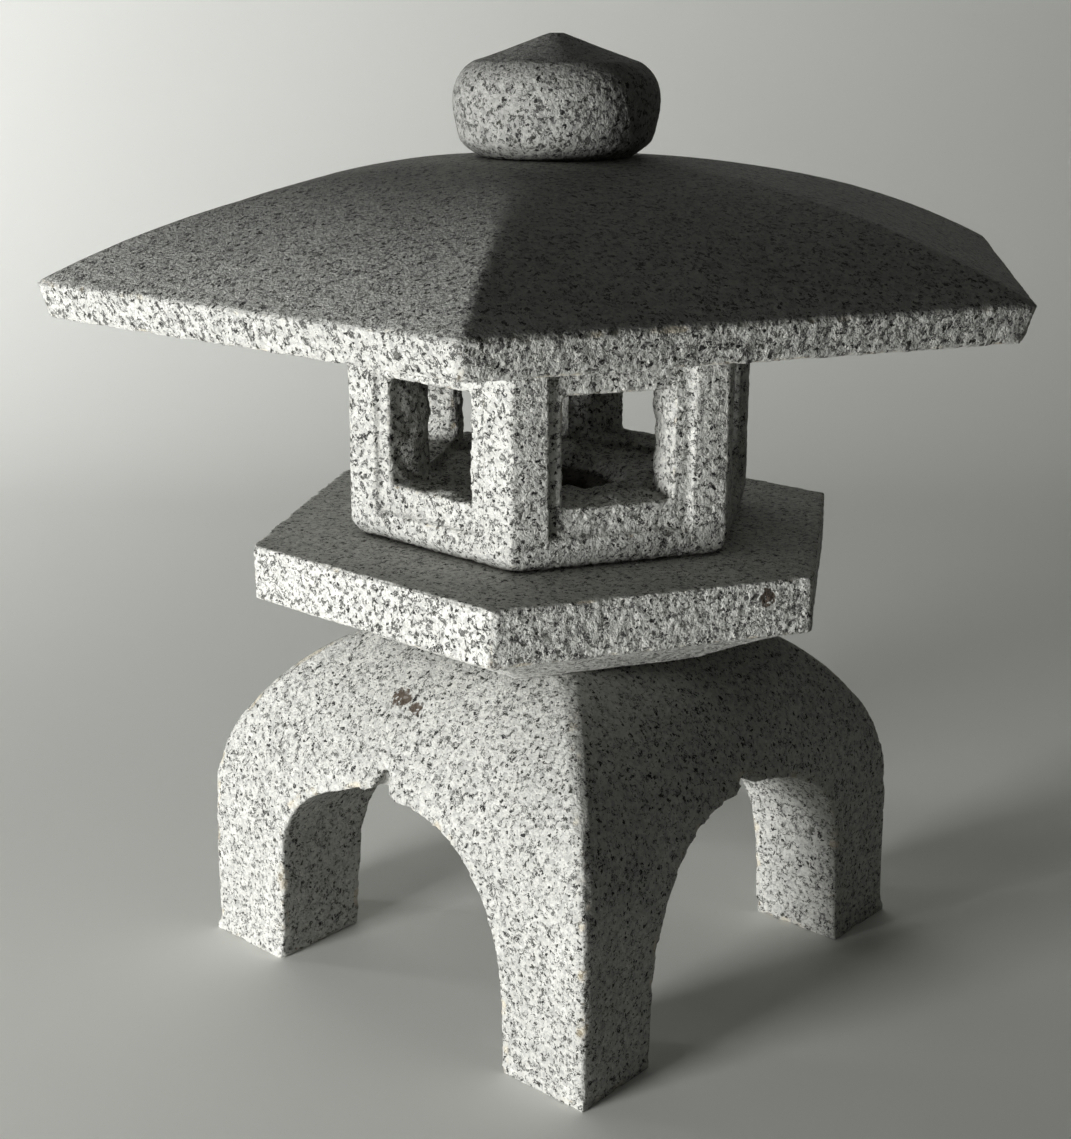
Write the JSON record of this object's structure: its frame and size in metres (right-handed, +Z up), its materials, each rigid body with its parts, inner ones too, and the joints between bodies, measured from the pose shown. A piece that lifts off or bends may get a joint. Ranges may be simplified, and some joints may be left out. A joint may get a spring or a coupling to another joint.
{
  "type": "stone lantern",
  "caption": "Stacked granite garden lantern with an arched base, flat platform, hollow hexagonal light box, wide curved roof and rounded finial.",
  "frame": {"origin": "on the ground, under the middle of the square base", "axes": "+Z up; the base's faces point along +-X and +-Y, and the hexagonal stones have corners near +-Y"},
  "size_m": [0.31, 0.348, 0.3273],
  "materials": {
    "dressed_granite": "finely bush-hammered pale grey granite with black flecks, matt",
    "hammered_granite": "coarsely bush-hammered pale grey granite with chipped arrises, matt"
  },
  "bodies": {
    "base": {"base": "dressed_granite"},
    "platform": {"platform": "hammered_granite"},
    "light_box": {"light_box": "hammered_granite"},
    "roof": {"roof": "dressed_granite"},
    "finial": {"finial": "dressed_granite"}
  },
  "joints": [
    {"name": "platform_lift", "type": "slide", "parent": "base", "child": "platform", "axis": [0, 0, 1], "range_m": [0, 0.06]},
    {"name": "light_box_lift", "type": "slide", "parent": "platform", "child": "light_box", "axis": [0, 0, 1], "range_m": [0, 0.06]},
    {"name": "roof_lift", "type": "slide", "parent": "light_box", "child": "roof", "axis": [0, 0, 1], "range_m": [0, 0.06]},
    {"name": "finial_lift", "type": "slide", "parent": "roof", "child": "finial", "axis": [0, 0, 1], "range_m": [0, 0.06]}
  ]
}
